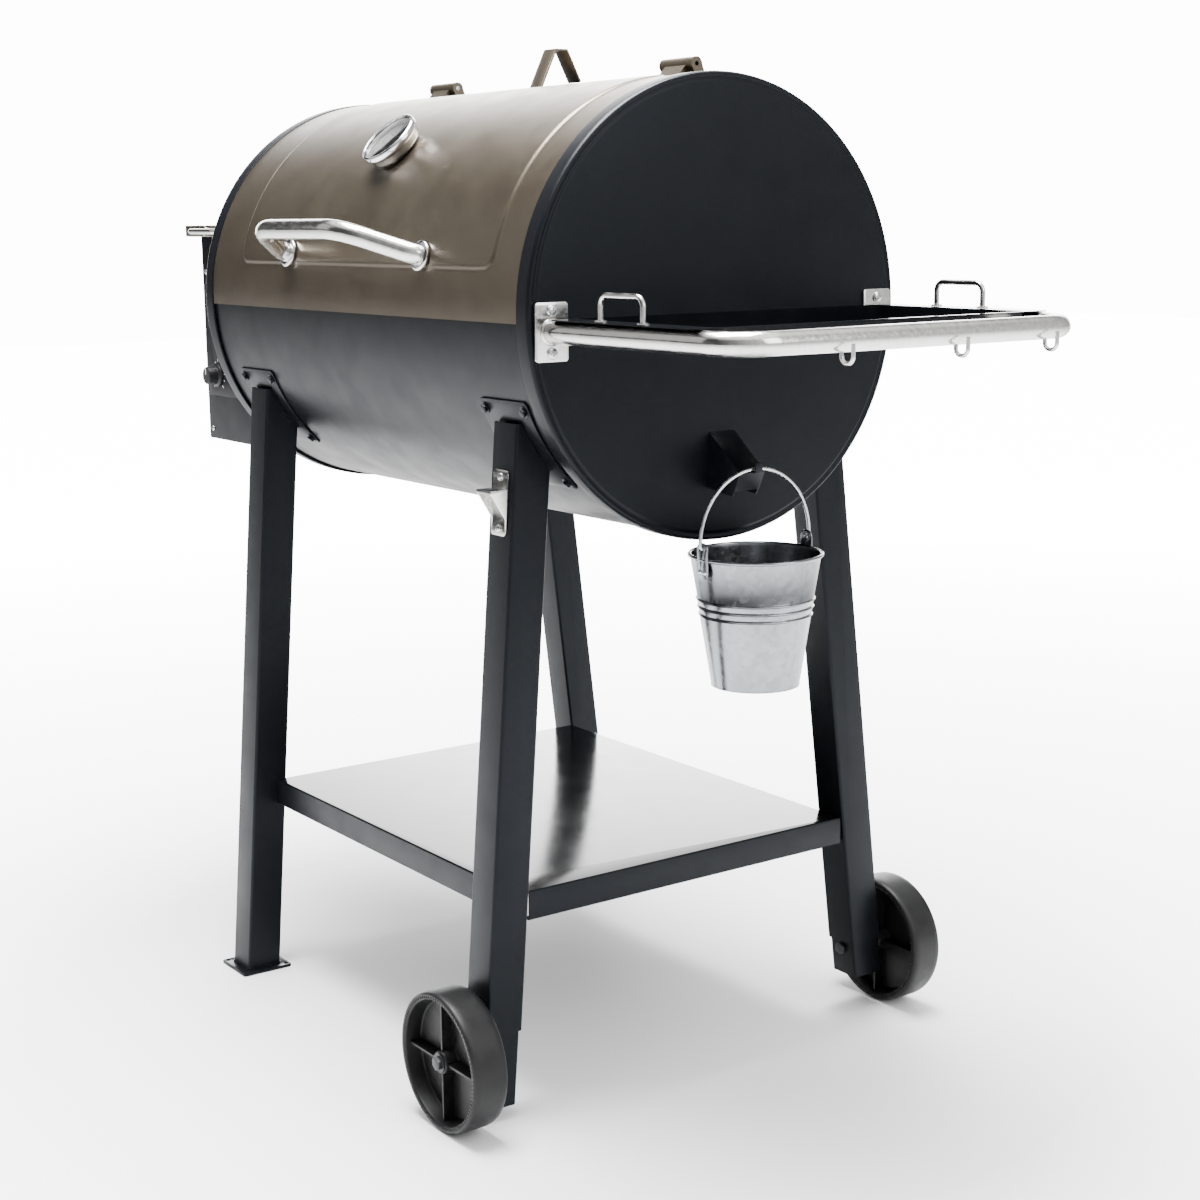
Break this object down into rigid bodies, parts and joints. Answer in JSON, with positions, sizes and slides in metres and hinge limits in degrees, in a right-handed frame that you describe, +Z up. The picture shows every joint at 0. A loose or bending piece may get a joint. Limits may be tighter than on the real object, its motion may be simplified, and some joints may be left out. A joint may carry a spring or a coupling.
{
  "type": "pellet smoker grill",
  "caption": "Barrel pellet smoker on legs with a hinged lid, pellet hopper with auger and fire pot, side rail with tray, grease bucket, shelf and wheels.",
  "frame": {"origin": "centre of the footprint's bounding box, on the floor", "axes": "+X from the pellet hopper towards the side rail, +Y from the lid's handle towards the back, +Z up"},
  "size_m": [1.3462, 0.7146, 1.229],
  "materials": {
    "auger_motor": "dark heat-stained steel",
    "auger_screw": "dark heat-stained steel",
    "auger_tube": "dark heat-stained steel",
    "barrel_shell": "satin near-black paint with a fine texture",
    "bottle_opener": "zinc-plated steel",
    "bottom_shelf": "gloss black enamel",
    "bucket": "galvanised steel",
    "bucket_bail": "galvanised steel",
    "control_display": "clear glass",
    "control_panel": "black moulded plastic",
    "fan_housing": "dark heat-stained steel",
    "fan_wheel": "black moulded plastic",
    "fire_pot": "dark heat-stained steel",
    "front_axle_bolt": "zinc-plated steel",
    "front_axle_sleeve": "satin near-black paint with a fine texture",
    "front_foot_plate": "satin near-black paint with a fine texture",
    "front_left_leg": "satin near-black paint with a fine texture",
    "front_left_saddle": "satin near-black paint with a fine texture",
    "front_right_leg": "satin near-black paint with a fine texture",
    "front_right_saddle": "satin near-black paint with a fine texture",
    "front_tray_handle": "polished stainless tube",
    "front_wheel": "black moulded plastic",
    "gauge_dial": "white dial enamel",
    "gauge_glass": "clear glass",
    "gauge_housing": "chrome plate",
    "gauge_needle": "dark heat-stained steel",
    "grease_spout": "satin near-black paint with a fine texture",
    "grease_tray": "dark heat-stained steel",
    "heat_baffle": "dark heat-stained steel",
    "hopper_box": "satin near-black paint with a fine texture",
    "hopper_chute": "dark heat-stained steel",
    "hopper_lid": "hammered bronze paint",
    "hopper_lid_handle": "polished stainless tube",
    "igniter_rod": "dark heat-stained steel",
    "left_cooking_grate": "gloss black enamel",
    "left_end_cap": "satin near-black paint with a fine texture",
    "left_hinge_knuckle": "hammered bronze paint",
    "left_hinge_leaf": "hammered bronze paint",
    "lid_handle": "polished stainless tube",
    "lid_panel": "hammered bronze paint",
    "lid_stop_bracket": "hammered bronze paint",
    "power_button": "red plastic",
    "power_inlet": "black moulded plastic",
    "rear_axle_bolt": "zinc-plated steel",
    "rear_axle_sleeve": "satin near-black paint with a fine texture",
    "rear_exhaust_duct": "satin near-black paint with a fine texture",
    "rear_foot_plate": "satin near-black paint with a fine texture",
    "rear_left_leg": "satin near-black paint with a fine texture",
    "rear_left_saddle": "satin near-black paint with a fine texture",
    "rear_right_leg": "satin near-black paint with a fine texture",
    "rear_right_saddle": "satin near-black paint with a fine texture",
    "rear_tray_handle": "polished stainless tube",
    "rear_wheel": "black moulded plastic",
    "right_cooking_grate": "gloss black enamel",
    "right_end_cap": "satin near-black paint with a fine texture",
    "right_hinge_knuckle": "hammered bronze paint",
    "right_hinge_leaf": "hammered bronze paint",
    "serving_tray": "gloss black enamel",
    "side_rail": "polished stainless tube",
    "temperature_knob": "black moulded plastic"
  },
  "bodies": {
    "frame": {"auger_motor": "auger_motor", "auger_tube": "auger_tube", "barrel_shell": "barrel_shell", "bottle_opener": "bottle_opener", "bottom_shelf": "bottom_shelf", "control_display": "control_display", "control_panel": "control_panel", "fan_housing": "fan_housing", "fire_pot": "fire_pot", "front_axle_bolt": "front_axle_bolt", "front_axle_sleeve": "front_axle_sleeve", "front_foot_plate": "front_foot_plate", "front_left_leg": "front_left_leg", "front_left_saddle": "front_left_saddle", "front_right_leg": "front_right_leg", "front_right_saddle": "front_right_saddle", "grease_spout": "grease_spout", "heat_baffle": "heat_baffle", "hopper_box": "hopper_box", "hopper_chute": "hopper_chute", "igniter_rod": "igniter_rod", "left_end_cap": "left_end_cap", "left_hinge_leaf": "left_hinge_leaf", "power_inlet": "power_inlet", "rear_axle_bolt": "rear_axle_bolt", "rear_axle_sleeve": "rear_axle_sleeve", "rear_exhaust_duct": "rear_exhaust_duct", "rear_foot_plate": "rear_foot_plate", "rear_left_leg": "rear_left_leg", "rear_left_saddle": "rear_left_saddle", "rear_right_leg": "rear_right_leg", "rear_right_saddle": "rear_right_saddle", "right_end_cap": "right_end_cap", "right_hinge_leaf": "right_hinge_leaf", "side_rail": "side_rail"},
    "lid": {"lid_panel": "lid_panel", "lid_handle": "lid_handle", "lid_stop_bracket": "lid_stop_bracket", "left_hinge_knuckle": "left_hinge_knuckle", "right_hinge_knuckle": "right_hinge_knuckle", "gauge_housing": "gauge_housing", "gauge_dial": "gauge_dial", "gauge_glass": "gauge_glass"},
    "needle": {"gauge_needle": "gauge_needle"},
    "hopper_cover": {"hopper_lid": "hopper_lid", "hopper_lid_handle": "hopper_lid_handle"},
    "front_wheel_body": {"front_wheel": "front_wheel"},
    "rear_wheel_body": {"rear_wheel": "rear_wheel"},
    "auger": {"auger_screw": "auger_screw"},
    "fan": {"fan_wheel": "fan_wheel"},
    "knob": {"temperature_knob": "temperature_knob"},
    "button": {"power_button": "power_button"},
    "bail": {"bucket_bail": "bucket_bail"},
    "pail": {"bucket": "bucket"},
    "side_tray": {"serving_tray": "serving_tray", "front_tray_handle": "front_tray_handle", "rear_tray_handle": "rear_tray_handle"},
    "left_grate": {"left_cooking_grate": "left_cooking_grate"},
    "right_grate": {"right_cooking_grate": "right_cooking_grate"},
    "drip_tray": {"grease_tray": "grease_tray"}
  },
  "joints": [
    {"name": "lid_hinge", "type": "hinge", "parent": "frame", "child": "lid", "pos_m": [-0.05959, 0.05063, 1.195], "axis": [-1, 0, 0], "range_deg": [0, 82]},
    {"name": "needle_turn", "type": "hinge", "parent": "lid", "child": "needle", "pos_m": [-0.05309, -0.19307, 1.10299], "axis": [0, 0.7046, -0.7096], "range_deg": [0, 200], "stiffness_Nm_per_rad": 0.002},
    {"name": "hopper_lid_hinge", "type": "hinge", "parent": "frame", "child": "hopper_cover", "pos_m": [-0.56634, 0.16913, 1.0115], "axis": [-1, 0, 0], "range_deg": [0, 100]},
    {"name": "front_wheel_spin", "type": "hinge", "parent": "frame", "child": "front_wheel_body", "pos_m": [0.25491, -0.33282, 0.082], "axis": [0, 1, 0], "continuous": true},
    {"name": "rear_wheel_spin", "type": "hinge", "parent": "frame", "child": "rear_wheel_body", "pos_m": [0.25491, 0.33063, 0.082], "axis": [0, 1, 0], "continuous": true},
    {"name": "auger_spin", "type": "hinge", "parent": "frame", "child": "auger", "pos_m": [-0.59709, -0.00937, 0.738], "axis": [1, 0, 0], "continuous": true},
    {"name": "fan_spin", "type": "hinge", "parent": "frame", "child": "fan", "pos_m": [-0.54359, 0.10063, 0.763], "axis": [1, 0, 0], "continuous": true},
    {"name": "knob_turn", "type": "hinge", "parent": "frame", "child": "knob", "pos_m": [-0.61409, -0.18267, 0.8], "axis": [0, 1, 0], "range_deg": [0, 280]},
    {"name": "power_button_push", "type": "slide", "parent": "frame", "child": "button", "axis": [0, 1, 0], "range_m": [0, 0.0025], "stiffness_N_per_m": 300},
    {"name": "bail_swing", "type": "hinge", "parent": "frame", "child": "bail", "pos_m": [0.39891, -0.00937, 0.745], "axis": [0, 1, 0], "range_deg": [-40, 1]},
    {"name": "bucket_swing", "type": "hinge", "parent": "bail", "child": "pail", "pos_m": [0.39891, -0.00937, 0.662], "axis": [0, 1, 0], "range_deg": [-60, 1.5]},
    {"name": "side_tray_lift", "type": "slide", "parent": "frame", "child": "side_tray", "axis": [0, 0, 1], "range_m": [0, 0.15]},
    {"name": "left_grate_lift", "type": "slide", "parent": "frame", "child": "left_grate", "axis": [0, 0, 1], "range_m": [0, 0.06]},
    {"name": "right_grate_lift", "type": "slide", "parent": "frame", "child": "right_grate", "axis": [0, 0, 1], "range_m": [0, 0.06]},
    {"name": "drip_tray_lift", "type": "slide", "parent": "frame", "child": "drip_tray", "axis": [0, 0, 1], "range_m": [0, 0.006]}
  ]
}
